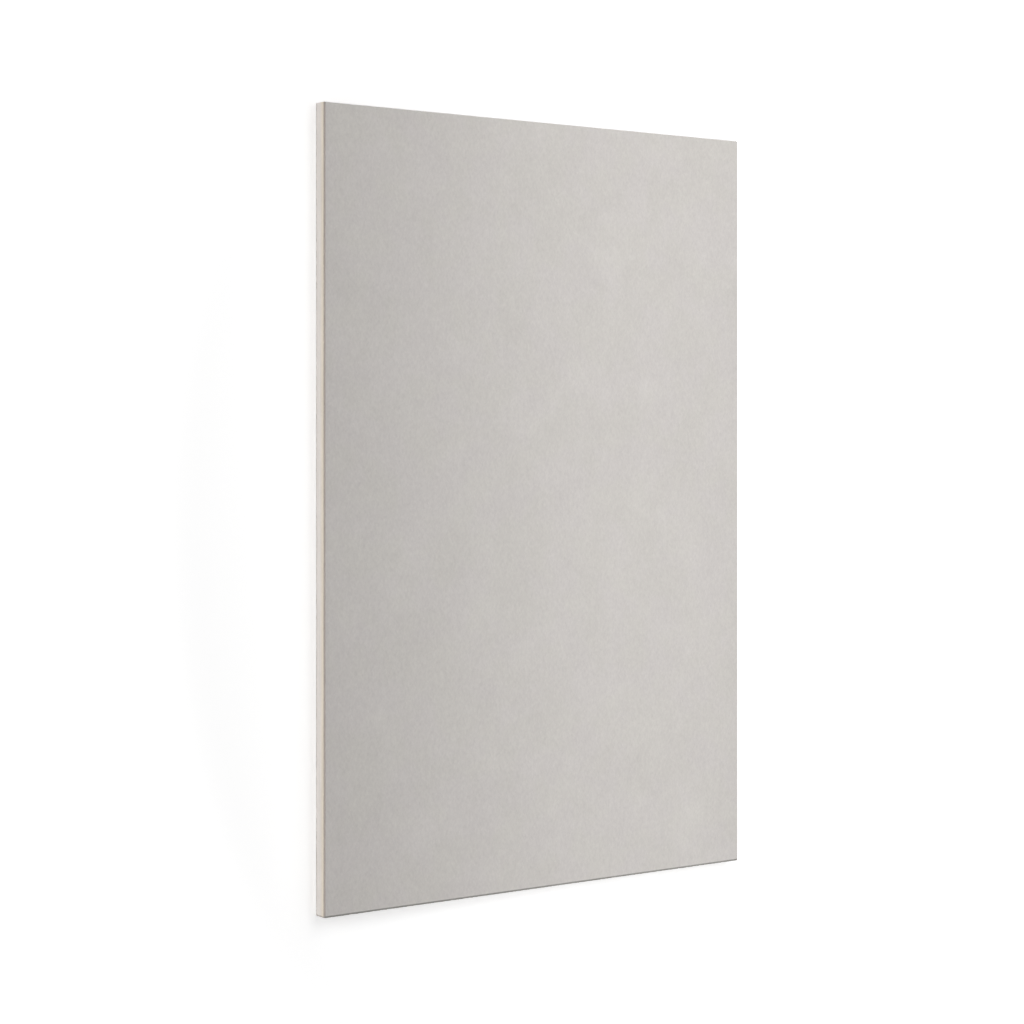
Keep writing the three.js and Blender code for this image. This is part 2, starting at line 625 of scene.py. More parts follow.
class GypsumSurface(Surface):
    """The nodes of the gypsum's material: its patterns, where a place lies, and one coat over another."""

    def __init__(self, values: GypsumFinish, half_width_mm: float, half_length_mm: float) -> None:
        """Builds the patterns and measures that the coats share.

        Args:
            values: The finish.
            half_width_mm: Half of the panel's width.
            half_length_mm: Half of the panel's length.
        """
        super().__init__(values.name)
        self.values = values
        self.half_length_mm = half_length_mm
        self.grain = self.streaks(values.streak_run_mm, values.streak_width_mm)
        self.clouds = self.mottle(values.patch_mm)["Clouds"]
        self.voids = self.spots(values.void_spacing_mm, values.void_size_mm, values.void_share)
        self.grit = self.noise(self.scaled(self.place_mm, 1 / values.grit_mm), detail=4.0, roughness=0.65)
        across, self.along, self.height = self.add("ShaderNodeSeparateXYZ", {"Vector": self.place_mm}).outputs
        self.from_side = self.math("SUBTRACT", half_width_mm, self.math("ABSOLUTE", across))
        self.on_end = self.ramp(self.from_side, *values.end_range_mm)
        clean = self.times(self.sawn_ends(half_length_mm), self.on_end)
        self.snapped = self.math("SUBTRACT", 1.0, clean)

    def bare(self) -> bpy.types.NodeSocket:
        """Gives the colour of the gypsum itself.

        Returns:
            The colour's socket.
        """
        values = self.values
        level = self.total(
            self.swing(self.grain, values.streak_contrast),
            self.swing(self.grit, values.grit_contrast),
            self.swing(self.clouds, values.patch_contrast),
            values.mean_level,
        )
        return self.blend(level, values.shade, values.chalk)

    def creamed(self, colour: bpy.types.NodeSocket) -> bpy.types.NodeSocket:
        """Turns a colour creamy towards the face liner, and gives the result."""
        creamy = self.times(self.ramp(self.height, *self.values.cream_range_mm), self.snapped)
        return self.blend(creamy, colour, self.values.cream_tint, mode="MULTIPLY")

    def pitted(self, colour: bpy.types.NodeSocket) -> bpy.types.NodeSocket:
        """Darkens a colour in the air voids as painted shade inside the pits, and gives the result."""
        return self.blend(self.times(self.voids, self.values.void_strength), colour, self.values.void)

    def stained(self, colour: bpy.types.NodeSocket) -> bpy.types.NodeSocket:
        """Browns and darkens a colour along the score, on the snapped edges alone: stain from the paper's
        fibres, and painted shade under the paper's lip.

        Args:
            colour: The colour's socket.

        Returns:
            The socket of the stained colour.
        """
        values = self.values
        ragged = self.total(self.height, self.swing(self.clouds, values.stain_waver_mm))
        brown = self.times(self.ramp(ragged, *values.stain_range_mm), values.stain_strength)
        return self.blend(self.times(brown, self.snapped), colour, values.stain)

    def freshly_broken(self, colour: bpy.types.NodeSocket) -> bpy.types.NodeSocket:
        """Whitens a colour on the far ledge, at the top of the far end.

        Args:
            colour: The colour's socket.

        Returns:
            The socket of the whitened colour.
        """
        values = self.values
        break_line = self.half_length_mm - values.fresh_mm
        full_line = break_line + values.fresh_mm / 2
        far = self.ramp(self.along, break_line, full_line, 0.0, values.fresh_strength)
        high = self.ramp(self.height, values.ledge_mm, values.ledge_mm + values.ledge_fade_mm)
        return self.blend(self.times(far, self.times(high, self.on_end)), colour, values.fresh)

    def grimed(self, colour: bpy.types.NodeSocket) -> bpy.types.NodeSocket:
        """Lays painted contact shade along the arrises on which the panel stood, at its near end.

        Args:
            colour: The colour's socket.

        Returns:
            The socket of the grimy colour.
        """
        values = self.values
        from_heel = self.total(self.along, self.half_length_mm)
        shade_waver = self.total(
            self.swing(self.clouds, values.grime_smear_mm), self.swing(self.grain, values.grime_smear_mm)
        )
        reach = [values.grime_mm * share for share in values.grime_shares]
        # Painted contact shade: darkest at the near end's arrises, with a wavering inner edge.
        heel = self.ramp(self.total(from_heel, shade_waver), *reach, 1.0, 0.0)
        arris = self.times(heel, self.ramp(self.from_side, *values.grime_range_mm, 1.0, 0.0))
        gritty = self.total(self.swing(self.grit, values.grit_contrast), values.grime_strength)
        return self.blend(self.times(arris, gritty, clamp=True), colour, values.grime)

    def dressed(self) -> bpy.types.Material:
        """Lays the coats over the bare gypsum and adds the relief.

        Returns:
            The finished material.
        """
        values = self.values
        colour = self.bare()
        for coat in (self.creamed, self.pitted, self.stained, self.freshly_broken, self.grimed):
            colour = coat(colour)
        uneven = self.total(
            self.times(self.grain, values.streak_relief), self.times(self.grit, values.grit_relief)
        )
        return self.close(
            colour=colour,
            roughness=self.total(
                self.swing(self.clouds, values.roughness_swing), values.roughness, clamp=True
            ),
            height=self.math("SUBTRACT", uneven, self.voids),
            relief_mm=values.relief_mm,
        )


FACE_LINER = LinerFinish(
    name="face liner",
    dark=tone(193, 188, 186),
    light=tone(220, 216, 212),
    tint=tone(253, 255, 250),
    speck=tone(120, 112, 104),
    fibre_length_mm=3.0,
    fibre_width_mm=1.5,
    grain_strength=1.4,
    cloud_patch_mm=30.0,
    cloud_strength=0.36,
    scuff_patch_mm=44.0,
    scuff_strength=0.12,
    tint_strength=0.4,
    speck_spacing_mm=26.0,
    speck_size_mm=0.8,
    speck_share=0.25,
    roughness=0.88,
    relief_mm=0.03,
)
BACK_LINER = LinerFinish(
    name="back liner",
    dark=tone(146, 135, 119),
    light=tone(184, 173, 157),
    tint=tone(255, 250, 240),
    speck=tone(86, 74, 60),
    fibre_length_mm=3.0,
    fibre_width_mm=0.9,
    grain_strength=1.1,
    cloud_patch_mm=24.0,
    cloud_strength=0.7,
    scuff_patch_mm=60.0,
    scuff_strength=0.35,
    tint_strength=0.6,
    speck_spacing_mm=5.0,
    speck_size_mm=0.7,
    speck_share=0.35,
    roughness=0.92,
    relief_mm=0.06,
)
FACE_LINER_CUT = CutPaperFinish(
    name="cut face liner",
    dark=tone(150, 139, 134),
    light=tone(194, 184, 179),
    sawn_tint=tone(227, 239, 238),
)
BACK_LINER_CUT = CutPaperFinish(
    name="cut back liner",
    dark=tone(204, 202, 199),
    light=tone(232, 231, 228),
    sawn_tint=tone(242, 241, 240),
)
GYPSUM = GypsumFinish()


# ---------------------------------------------------------------------------
# Layers of the panel
# ---------------------------------------------------------------------------


@dataclass(frozen=True)
class RimRow:
    """One level line round a layer's rim.

    It lies inset_mm in from the outline. On the left side and on the near side, where the knife leaned, it
    lies further in by the two numbers of slant_mm, and on the far side by far_mm. Its lip is how much of the
    torn lip's droop it takes.
    """

    inset_mm: float
    height_mm: float
    slant_mm: tuple[float, float] = (0.0, 0.0)
    far_mm: float = 0.0
    lip: float = 0.0


@dataclass
class Outline:
    """The panel's outline, divided finely enough to hold the roughness of a cut edge."""

    half_width_mm: float
    half_length_mm: float
    pitch_mm: float = 0.6
    corners: tuple[tuple[int, int], ...] = ((-1, -1), (1, -1), (1, 1), (-1, 1))

    def shares(self) -> np.ndarray:
        """Gives the points round the outline, anticlockwise from the near left corner.

        Returns:
            Each point as a share of the half width and half length.
        """
        spans = (2 * self.half_width_mm, 2 * self.half_length_mm)
        points = []
        for side, start in enumerate(self.corners):
            end = self.corners[(side + 1) % len(self.corners)]
            steps = round(spans[side % 2] / self.pitch_mm)
            walk = np.arange(steps)[:, None] / steps
            points.append(np.array(start) * (1 - walk) + np.array(end) * walk)
        return np.concatenate(points)

    def corners_at(self, row: RimRow, more_mm: float = 0.0) -> tuple[np.ndarray, np.ndarray]:
        """Gives two opposite corners of a row.

        Args:
            row: The row.
            more_mm: How much further in they lie than the row says.

        Returns:
            The near left corner and the far right one, in millimetres.
        """
        half = np.array([self.half_width_mm, self.half_length_mm])
        inset = row.inset_mm + more_mm
        return inset + np.array(row.slant_mm) - half, half - inset - np.array([0.0, row.far_mm])

    def ring(self, row: RimRow, more_mm: float = 0.0) -> np.ndarray:
        """Gives the points of a row round the outline, brought in some more, in millimetres."""
        low, high = self.corners_at(row, more_mm)
        return low + (self.shares() + 1) / 2 * (high - low)

    def outward(self) -> np.ndarray:
        """Gives the direction out of the panel at each point: along X, along Y or, at a corner, both."""
        shares = self.shares()
        return np.where(np.isclose(np.abs(shares), 1.0), np.sign(shares), 0.0)

    def clear_of_corners(self, reach_mm: float) -> np.ndarray:
        """Gives 0 at each corner, rising to 1 at a reach from it.

        Args:
            reach_mm: The reach.

        Returns:
            One value for each point round the outline.
        """
        half = np.array([self.half_width_mm, self.half_length_mm])
        from_corner = ((1 - np.abs(self.shares())) * half).max(axis=1)
        return np.clip(from_corner / reach_mm, 0.0, 1.0)

    def walked(self) -> np.ndarray:
        """Gives how far along the outline each point lies.

        Returns:
            One distance for each point, and the whole way round last, in millimetres.
        """
        ring = self.ring(RimRow(0.0, 0.0))
        steps = np.linalg.norm(np.roll(ring, -1, axis=0) - ring, axis=1)
        return np.concatenate([[0.0], np.cumsum(steps)])


@dataclass(frozen=True)
class FlatSheet:
    """Where a layer's surface lies when it is laid out flat, on a square one unit across.

    The main broad side lies at the foot of the sheet and the other beside the rim, which is cut into lengths
    that lie one above another. The scales are shares of the sheet for each millimetre.
    """

    main_scale: float
    other_scale: float
    rim_scale: float
    rim_foot: float
    rim_left: float
    margin: float = 0.008
    row_gap: float = 0.004
    spot_shift: float = 0.1

    def broad_side(self, flat: np.ndarray, outline: Outline, main: bool, top: bool) -> np.ndarray:
        """Lays out points of a broad side.

        Args:
            flat: Places on the panel, in millimetres.
            outline: The panel's outline.
            main: Whether it is the main broad side.
            top: Whether it looks up.

        Returns:
            Places on the sheet.
        """
        scale = self.main_scale if main else self.other_scale
        foot = self.margin if main else self.rim_foot
        across = outline.half_width_mm - flat[:, 0] * (1 if top else -1)
        along = outline.half_length_mm + flat[:, 1]
        return np.stack([self.margin + along * scale, foot + across * scale], axis=-1)

    def rim_spot(self, climbed_mm: float) -> tuple[float, float, float]:
        """Gives a place on the sheet that lies some way up the rim's profile."""
        return (self.rim_left + self.spot_shift, self.rim_foot + climbed_mm * self.rim_scale, 0.0)

    def rim(
        self, walked: np.ndarray, climbed: np.ndarray, start: np.ndarray, whole_climb: float
    ) -> np.ndarray:
        """Lays out points of the rim.

        Args:
            walked: How far along the outline each point lies, in millimetres.
            climbed: How far up the rim's profile each point lies, in millimetres.
            start: Where along the outline each point's face starts, which says in which length it lies.
            whole_climb: The whole profile, in millimetres.

        Returns:
            Places on the sheet.
        """
        room = 1 - self.margin - self.rim_left
        length = np.floor(start * self.rim_scale / room)
        row = whole_climb * self.rim_scale + self.row_gap
        return np.stack(
            [
                self.rim_left + walked * self.rim_scale - length * room,
                self.rim_foot + length * row + climbed * self.rim_scale,
            ],
            axis=-1,
        )


@dataclass
class Layer:
    """One layer of the panel as a closed mesh: a finely divided rim and two broad sides.

    The broad sides are made of triangles that grow from the rim inwards: each step of the grading says how
    far in a ring lies and every how many points of the outline it takes. Four attributes say how the surface
    may wear: rim_out points out of the panel on the rim, lip is 1 where the paper's torn lip hangs, face_out
    is 1 or -1 on a broad side that shows, and cut marks the faces of the rim.
    """

    name: str
    outline: Outline
    rows: list[RimRow]
    sheet: FlatSheet
    shows_top: bool = False
    shows_bottom: bool = False
    inner_pitch_mm: float = 6.0
    grading: tuple[tuple[float, int], ...] = ((1.2, 2), (3.2, 4))
    corner_reach_mm: float = 2.0
    verts: list[np.ndarray] = field(default_factory=list)
    faces: list[tuple[int, ...]] = field(default_factory=list)
    flat_places: list[np.ndarray] = field(default_factory=list)
    face_out: list[np.ndarray] = field(default_factory=list)

    def inner_points(self, row: RimRow) -> np.ndarray:
        """Gives the points of a broad side inside its outermost ring.

        Args:
            row: The outermost ring.

        Returns:
            Rings of ever fewer points, and a grid inside them, in millimetres.
        """
        parts = [self.outline.ring(row, more)[::step] for more, step in self.grading]
        low, high = self.outline.corners_at(row, self.grading[-1][0] + self.inner_pitch_mm / 2)
        counts = np.round((high - low) / self.inner_pitch_mm).astype(int) + 1
        axes = [np.linspace(*span) for span in zip(low, high, counts)]
        grid = np.stack(np.meshgrid(*axes, indexing="ij"), axis=-1).reshape(-1, 2)
        return np.concatenate([*parts, grid])

    def add_rim(self) -> int:
        """Adds the rim's rings and the faces between them.

        Returns:
            The number of points in a ring.
        """
        walked = self.outline.walked()
        count = len(walked) - 1
        here = np.arange(count)
        after = (here + 1) % count
        for row in self.rows:
            self.verts.append(np.column_stack([self.outline.ring(row), np.full(count, row.height_mm)]))
            self.face_out.append(np.zeros(count))
        profile = np.array([(row.inset_mm, row.height_mm) for row in self.rows])
        climbed = np.concatenate([[0.0], np.cumsum(np.linalg.norm(np.diff(profile, axis=0), axis=1))])
        start = np.repeat(walked[:-1], 4)
        for level in range(len(self.rows) - 1):
            low, high = level * count, (level + 1) * count
            quads = np.column_stack([low + here, low + after, high + after, high + here])
            self.faces += [tuple(quad) for quad in quads.tolist()]
            along = np.column_stack([walked[:-1], walked[1:], walked[1:], walked[:-1]]).ravel()
            up = np.tile([climbed[level]] * 2 + [climbed[level + 1]] * 2, count)
            self.flat_places.append(self.sheet.rim(along, up, start, climbed[-1]))
        return count

    def add_broad_side(self, count: int, top: bool) -> None:
        """Adds one broad side.

        Args:
            count: The number of points in a ring of the rim.
            top: Whether it looks up.
        """
        inside_alone = 1
        merge_mm = 1e-6
        row_index = len(self.rows) - 1 if top else 0
        row = self.rows[row_index]
        shows = self.shows_top if top else self.shows_bottom
        out = (1.0 if top else -1.0) if shows else 0.0
        inner = self.inner_points(row)
        first_new = sum(len(block) for block in self.verts)
        self.verts.append(np.column_stack([inner, np.full(len(inner), row.height_mm)]))
        self.face_out[row_index] = np.full(count, out)
        self.face_out.append(np.full(len(inner), out))

        ids = np.concatenate([np.arange(count) + row_index * count, np.arange(len(inner)) + first_new])
        flat = np.concatenate([self.verts[row_index][:, :2], inner])
        points = [Vector((float(x), float(y))) for x, y in flat]
        found = delaunay_2d_cdt(points, [], [list(range(count))], inside_alone, merge_mm)
        source = [origins[0] for origins in found[3]]
        triangles = np.array([[source[corner] for corner in triangle] for triangle in found[2]])
        if not top:
            triangles = triangles[:, ::-1]
        self.faces += [tuple(corners) for corners in ids[triangles].tolist()]
        main = shows or not (self.shows_top or self.shows_bottom or top)
        self.flat_places.append(self.sheet.broad_side(flat[triangles.ravel()], self.outline, main, top))

    def build(self) -> bpy.types.Object:
        """Builds the layer's mesh.

        Returns:
            The layer's object, linked to the scene, at the origin.
        """
        count = self.add_rim()
        cut_faces = len(self.faces)
        for top in (False, True):
            self.add_broad_side(count, top)
        verts = np.concatenate(self.verts)
        rim_out = np.zeros((len(verts), 3))
        rim_out[: count * len(self.rows), :2] = np.tile(self.outline.outward(), (len(self.rows), 1))
        lip = np.zeros(len(verts))
        fade = self.outline.clear_of_corners(self.corner_reach_mm)
        far = self.outline.outward()[:, 1] > 0
        lip[: count * len(self.rows)] = np.concatenate(
            [row.lip * np.where(far & (row.far_mm > 0), 0.0, fade) for row in self.rows]
        )

        mesh = bpy.data.meshes.new(self.name)
        mesh.from_pydata((verts * MM).tolist(), [], self.faces)
        mesh.uv_layers.new(name=FLAT_MAP).data.foreach_set("uv", np.concatenate(self.flat_places).ravel())
        for label, kind, domain, values in (
            ("rim_out", "FLOAT_VECTOR", "POINT", rim_out.ravel()),
            ("lip", "FLOAT", "POINT", lip),
            ("face_out", "FLOAT", "POINT", np.concatenate(self.face_out)),
            ("cut", "BOOLEAN", "FACE", np.arange(len(self.faces)) < cut_faces),
        ):
            key = "vector" if kind == "FLOAT_VECTOR" else "value"
            mesh.attributes.new(label, kind, domain).data.foreach_set(key, values)
        mesh.update()
        made = bpy.data.objects.new(self.name, mesh)
        bpy.context.scene.collection.objects.link(made)
        return made


def input_name(field_name: str) -> str:
    """Turns a field's name, such as pit_depth_mm, into the name of a tree's input, such as Pit Depth."""
    return field_name.removesuffix("_mm").replace("_", " ").title()


@dataclass(frozen=True)
class EdgeWear:
    """How a layer's cut edge is worn. Nothing moves outwards, so the true size holds.

    Each field is an input of the edge tree.
    """

    wander_mm: float = 0.0
    wander_length_mm: float = 40.0
    crumble_mm: float = 0.0
    crumble_size_mm: float = 1.5
    pit_depth_mm: float = 0.0
    pit_spacing_mm: float = 4.0
    pit_size_mm: float = 1.0
    lip_droop_mm: float = 0.0
    ripple_mm: float = 0.0
    ripple_length_mm: float = 45.0
    fibre_share: float = 0.0
    fibre_length_mm: float = 0.7
    fibre_width_mm: float = 0.12
    fibre_seed: int = 7

    def inputs(self) -> dict[str, Any]:
        """Gives the values for the tree's inputs, with lengths in metres."""
        values = vars(self).items()
        return {input_name(name): value * MM if name.endswith("_mm") else value for name, value in values}


class FibreDraw(Enum):
    """The random draws that each torn fibre takes, as numbers added to the fibre seed."""

    SHOWS = 1
    SETBACK = 2
    LEAN = 3
    LENGTH = 4
    WIDTH = 5


class EdgeTree:
    """The Geometry Nodes tree that wears a layer's rim and hangs torn fibres under its lip.

    The ranges of the fibres' setback and width are in widths, of their length in lengths and of their lean in
    radians.
    """

    inputs = {
        "Geometry": SocketKind.SHAPE,
        **{
            input_name(part.name): SocketKind.WHOLE if part.type is int else SocketKind.NUMBER
            for part in fields(EdgeWear)
        },
        "Fibre Place": SocketKind.VECTOR,
        "Broad Side": SocketKind.MATERIAL,
        "Cut Side": SocketKind.MATERIAL,
    }
    noise_range = (0.25, 0.75)
    full_lip = 0.99
    setback_range = (-1.0, -0.5)
    lean_range = (-1.0, 1.0)
    length_range = (0.35, 1.0)
    width_range = (0.6, 1.0)
    root_radius = 0.5
    tip_radius = 0.15

    def __init__(self) -> None:
        """Builds the tree: wear, then fibres, then the materials."""
        self.graph, given, result = open_group(
            "Cut edge", "GeometryNodeTree", self.inputs, {"Geometry": SocketKind.SHAPE}
        )
        self.given = given.outputs
        self.rim_out = self.attribute("rim_out", "FLOAT_VECTOR")
        self.lip = self.attribute("lip", "FLOAT")
        worn = self.painted(self.worn(), "Broad Side")
        joined = self.graph.add("GeometryNodeJoinGeometry")
        self.graph.feed(joined.inputs[0], self.fibres(worn))
        self.graph.feed(joined.inputs[0], worn)
        whole = self.graph.add("GeometryNodeRealizeInstances", {"Geometry": joined.outputs[0]})
        dressed = self.painted(whole.outputs[0], "Cut Side", self.attribute("cut", "BOOLEAN"))
        self.graph.feed(result.inputs["Geometry"], dressed)

    def attribute(self, name: str, kind: str) -> bpy.types.NodeSocket:
        """Gives the socket of a named attribute."""
        node = self.graph.add("GeometryNodeInputNamedAttribute", {"Name": name}, data_type=kind)
        return node.outputs["Attribute"]

    def random(self, draw: FibreDraw, low: float, high: float) -> bpy.types.NodeSocket:
        """Draws a random number for each point.

        Args:
            draw: Which draw it is.
            low: The least that it gives.
            high: The most that it gives.

        Returns:
            The number's socket.
        """
        seed = self.graph.total(self.given["Fibre Seed"], float(draw.value))
        node = self.graph.add("FunctionNodeRandomValue", {2: low, 3: high, "Seed": seed}, data_type="FLOAT")
        return node.outputs[1]

    def position_in(self, size: str) -> bpy.types.NodeSocket:
        """Gives each point's place, in units as large as one of the inputs says."""
        place = self.graph.add("GeometryNodeInputPosition").outputs[0]
        return self.graph.scaled(place, self.graph.math("DIVIDE", 1.0, self.given[size]))

    def features(self, size: str, depth: str) -> bpy.types.NodeSocket:
        """Gives noise from 0 to a depth, with features of a size, each of them read from an input."""
        level = self.graph.ramp(self.graph.noise(self.position_in(size)), *self.noise_range)
        return self.graph.times(level, self.given[depth])

    def pits(self) -> bpy.types.NodeSocket:
        """Scatters pits over the rim.

        Returns:
            The socket of how deep they are.
        """
        inputs = {"Vector": self.position_in("Pit Spacing"), "Scale": 1.0}
        cells = self.graph.add("ShaderNodeTexVoronoi", inputs)
        reach = self.graph.math("DIVIDE", self.given["Pit Size"], self.given["Pit Spacing"])
        bowl = self.graph.ramp(cells.outputs["Distance"], 0.0, reach, 1.0, 0.0)
        return self.graph.times(bowl, self.given["Pit Depth"])

    def worn(self) -> bpy.types.NodeSocket:
        """Moves the rim inwards, lets the lip hang and ripples the broad side that shows.

        Returns:
            The socket of the worn layer.
        """
        graph = self.graph
        inwards = graph.total(
            self.features("Wander Length", "Wander"), self.features("Crumble Size", "Crumble"), self.pits()
        )
        ripple = graph.times(self.features("Ripple Length", "Ripple"), self.attribute("face_out", "FLOAT"))
        hang = graph.times(self.features("Crumble Size", "Lip Droop"), self.lip)
        shift = graph.vector(
            "ADD",
            graph.scaled(self.rim_out, graph.times(inwards, -1.0)),
            graph.xyz(0.0, 0.0, graph.times(graph.total(ripple, hang), -1.0)),
        )
        moved = graph.add("GeometryNodeSetPosition", {"Geometry": self.given["Geometry"], "Offset": shift})
        return moved.outputs[0]

    def roots(self, worn: bpy.types.NodeSocket) -> bpy.types.NodeSocket:
        """Picks the points of the lip that hold a fibre, and sets them back into the paper.

        Args:
            worn: The worn layer.

        Returns:
            The socket of the points.
        """
        graph, width = self.graph, self.given["Fibre Width"]
        on_lip = graph.math("GREATER_THAN", self.lip, self.full_lip)
        shows = graph.math("LESS_THAN", self.random(FibreDraw.SHOWS, 0.0, 1.0), self.given["Fibre Share"])
        inputs = {"Mesh": worn, "Selection": graph.times(on_lip, shows)}
        points = graph.add("GeometryNodeMeshToPoints", inputs)
        setback = graph.times(self.random(FibreDraw.SETBACK, *self.setback_range), width)
        offset = graph.vector("ADD", graph.scaled(self.rim_out, setback), graph.xyz(0.0, 0.0, width))
        moved = graph.add("GeometryNodeSetPosition", {"Geometry": points.outputs[0], "Offset": offset})
        return moved.outputs[0]

    def one_fibre(self) -> bpy.types.NodeSocket:
        """Makes one tapered fibre, one unit long and wide, marked as a cut side and placed on the flat sheet.

        Returns:
            The fibre's socket.
        """
        size = {"Radius Top": self.tip_radius, "Radius Bottom": self.root_radius, "Depth": 1.0}
        sides = {"Vertices": 3, "Side Segments": 1}
        cone = self.graph.add("GeometryNodeMeshCone", {**sides, **size}, fill_type="NGON")
        shape = self.painted(cone.outputs["Mesh"], "Cut Side")
        for name, value, kind, domain in (
            ("cut", True, "BOOLEAN", "FACE"),
            (FLAT_MAP, self.given["Fibre Place"], "FLOAT2", "CORNER"),
        ):
            inputs = {"Geometry": shape, "Name": name, "Value": value}
            stored = self.graph.add("GeometryNodeStoreNamedAttribute", inputs, data_type=kind, domain=domain)
            shape = stored.outputs[0]
        return shape

    def fibres(self, worn: bpy.types.NodeSocket) -> bpy.types.NodeSocket:
        """Hangs short tapered fibres from the lip, each leaning some way along the edge.

        Args:
            worn: The worn layer, whose lip carries them.

        Returns:
            The fibres, as instances.
        """
        graph = self.graph
        parts = graph.add("ShaderNodeSeparateXYZ", {"Vector": self.rim_out}).outputs
        heading = graph.total(graph.math("ARCTAN2", parts[1], parts[0]), math.pi / 2)
        angles = graph.xyz(math.pi, self.random(FibreDraw.LEAN, *self.lean_range), heading)
        turn = graph.add("FunctionNodeEulerToRotation", {"Euler": angles})
        length = graph.times(self.random(FibreDraw.LENGTH, *self.length_range), self.given["Fibre Length"])
        width = graph.times(self.random(FibreDraw.WIDTH, *self.width_range), self.given["Fibre Width"])
        inputs = {
            "Points": self.roots(worn),
            "Instance": self.one_fibre(),
            "Rotation": turn.outputs[0],
            "Scale": graph.xyz(width, width, length),
        }
        return graph.add("GeometryNodeInstanceOnPoints", inputs).outputs[0]

    def painted(self, shape: bpy.types.NodeSocket, side: str, chosen: Any = True) -> bpy.types.NodeSocket:
        """Gives a shape, or the chosen faces of it, the material of one of the inputs.

        Args:
            shape: The shape.
            side: The input that holds the material.
            chosen: Which faces take it.

        Returns:
            The painted shape.
        """
        inputs = {"Geometry": shape, "Selection": chosen, "Material": self.given[side]}
        return self.graph.add("GeometryNodeSetMaterial", inputs).outputs[0]


@lru_cache(maxsize=None)
def edge_tree() -> bpy.types.NodeTree:
    """Builds the edge tree once and gives it."""
    return EdgeTree().graph.tree


def settle_tree(piece: bpy.types.Object, tree: bpy.types.NodeTree, values: dict[str, Any]) -> None:
    """Runs a Geometry Nodes tree on a piece and keeps the result as its plain mesh.

    Args:
        piece: The piece, whose mesh is replaced.
        tree: The tree.
        values: What each of the tree's named inputs gets.
    """
    modifier = piece.modifiers.new(tree.name, "NODES")
    modifier.node_group = tree
    for item in tree.interface.items_tree:
        if item.in_out == "INPUT" and item.name in values:
            modifier[item.identifier] = values[item.name]
    piece.update_tag()
    evaluated = piece.evaluated_get(bpy.context.evaluated_depsgraph_get())
    mesh = bpy.data.meshes.new_from_object(evaluated)
    piece.modifiers.remove(modifier)
    old = piece.data
    piece.data = mesh
    bpy.data.meshes.remove(old)
    mesh.name = piece.name
    for slot in reversed(range(len(mesh.materials))):
        if mesh.materials[slot] is None:
            mesh.materials.pop(index=slot)


@dataclass
class GypsumCore:
    """The gypsum slab: its four edges are cut square and lean in under the face liner along the score."""

    outline: Outline
    bottom_mm: float
    top_mm: float
    score_setback_mm: float
    score_depth_mm: float
    row_pitch_mm: float = 0.75
    foot_chip_mm: float = 0.12
    finish: GypsumFinish = GYPSUM
    wear: EdgeWear = EdgeWear(
        wander_mm=0.12,
        wander_length_mm=40.0,
        crumble_mm=0.10,
        crumble_size_mm=1.6,
        pit_depth_mm=0.25,
        pit_spacing_mm=4.0,
        pit_size_mm=1.0,
    )
    sheet: FlatSheet = FlatSheet(
        main_scale=0.0004,
        other_scale=0.0004,
        rim_scale=0.0045,
        rim_foot=0.2,
        rim_left=0.26,
    )

    def rows(self) -> list[RimRow]:
        """Gives the level lines of the rim.

        Returns:
            The rows, from the back liner up to the face liner.
        """
        straight_top = self.top_mm - self.score_depth_mm
        straight = straight_top - self.bottom_mm
        steps = round(straight / self.row_pitch_mm)
        rows = [RimRow(self.foot_chip_mm, self.bottom_mm)]
        for step in range(1, steps + 1):
            rows.append(RimRow(0.0, self.bottom_mm + straight * step / steps))
        rows.append(RimRow(self.score_setback_mm / 2, straight_top + self.score_depth_mm / 2))
        rows.append(RimRow(self.score_setback_mm, self.top_mm))
        return rows

    def build(self) -> bpy.types.Object:
        """Builds and dresses the core.

        Returns:
            The core's object.
        """
        piece = Layer("gypsum_slab", self.outline, self.rows(), self.sheet).build()
        cut = self.finish.material(self.outline.half_width_mm, self.outline.half_length_mm)
        settle_tree(piece, edge_tree(), {**self.wear.inputs(), "Broad Side": cut, "Cut Side": cut})
        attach(piece, "root")
        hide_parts("gypsum_core")
        return piece


